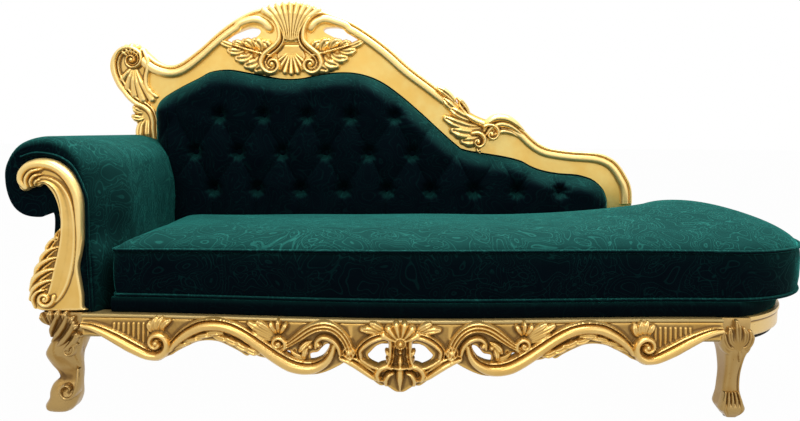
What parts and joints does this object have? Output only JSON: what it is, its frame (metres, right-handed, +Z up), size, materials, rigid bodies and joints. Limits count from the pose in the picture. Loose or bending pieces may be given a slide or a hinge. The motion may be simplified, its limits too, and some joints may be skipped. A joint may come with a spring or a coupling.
{
  "type": "fainting couch",
  "caption": "Carved and gilded fainting couch with a rolled arm, a tufted back sloping down from a shell crest, and a loose boxed seat cushion with a round end.",
  "frame": {"origin": "on the floor, under the middle of the bounding box", "axes": "+X along the couch from the rolled arm to the round end, +Y from the carved front to the back, +Z up"},
  "size_m": [2.098, 0.7275, 1.133],
  "materials": {
    "gilt_wood": "carved hardwood with warm satin gold finish, darker in the recesses",
    "beech": "bare sawn hardwood",
    "board": "plain plywood",
    "glide_plastic": "moulded, satin",
    "velvet": "deep teal velvet with a tone-on-tone woven swirl",
    "plain_velvet": "plain dark teal velvet",
    "webbing": "woven upholstery webbing",
    "dust_cloth": "thin black non-woven cloth",
    "steel": "zinc plated"
  },
  "bodies": {
    "couch": {"front_rail": "gilt_wood", "back_rail": "gilt_wood", "left_rail": "gilt_wood", "end_rail": "gilt_wood", "cross_rails": "beech", "corner_blocks": "beech", "front_left_leg": "gilt_wood", "front_right_leg": "gilt_wood", "back_left_leg": "gilt_wood", "back_right_leg": "gilt_wood", "left_knee_leaf": "gilt_wood", "right_knee_leaf": "gilt_wood", "leg_glides": "glide_plastic", "apron_left_fret": "gilt_wood", "apron_right_fret": "gilt_wood", "apron_left_scrolls": "gilt_wood", "apron_right_scrolls": "gilt_wood", "apron_left_flutes": "gilt_wood", "apron_right_flutes": "gilt_wood", "apron_left_flower": "gilt_wood", "apron_right_flower": "gilt_wood", "apron_cartouche": "gilt_wood", "arm_panel": "beech", "arm_roller": "beech", "arm_pad": "velvet", "arm_piping": "velvet", "arm_facing": "gilt_wood", "arm_facing_leaf": "gilt_wood", "back_left_stile": "gilt_wood", "back_crest_rail": "gilt_wood", "back_slope_rail": "gilt_wood", "back_right_stile": "gilt_wood", "back_bottom_rail": "gilt_wood", "back_moulding": "gilt_wood", "crest_shell": "gilt_wood", "crest_lower_shell": "gilt_wood", "crest_scrolls": "gilt_wood", "crest_left_leaf": "gilt_wood", "crest_right_leaf": "gilt_wood", "shoulder_volute": "gilt_wood", "shoulder_shell": "gilt_wood", "slope_leaf": "gilt_wood", "back_backing": "board", "back_pad": "velvet", "back_buttons": "velvet", "back_panel": "plain_velvet", "seat_webbing": "webbing", "seat_deck": "plain_velvet", "dust_cover": "dust_cloth", "block_screws": "steel", "back_bolts": "steel"},
    "cushion": {"seat_cushion": "velvet", "cushion_piping": "velvet"}
  },
  "joints": [
    {"name": "seat_lift", "type": "slide", "parent": "couch", "child": "cushion", "axis": [0, 0, 1], "range_m": [0, 0.25]}
  ]
}
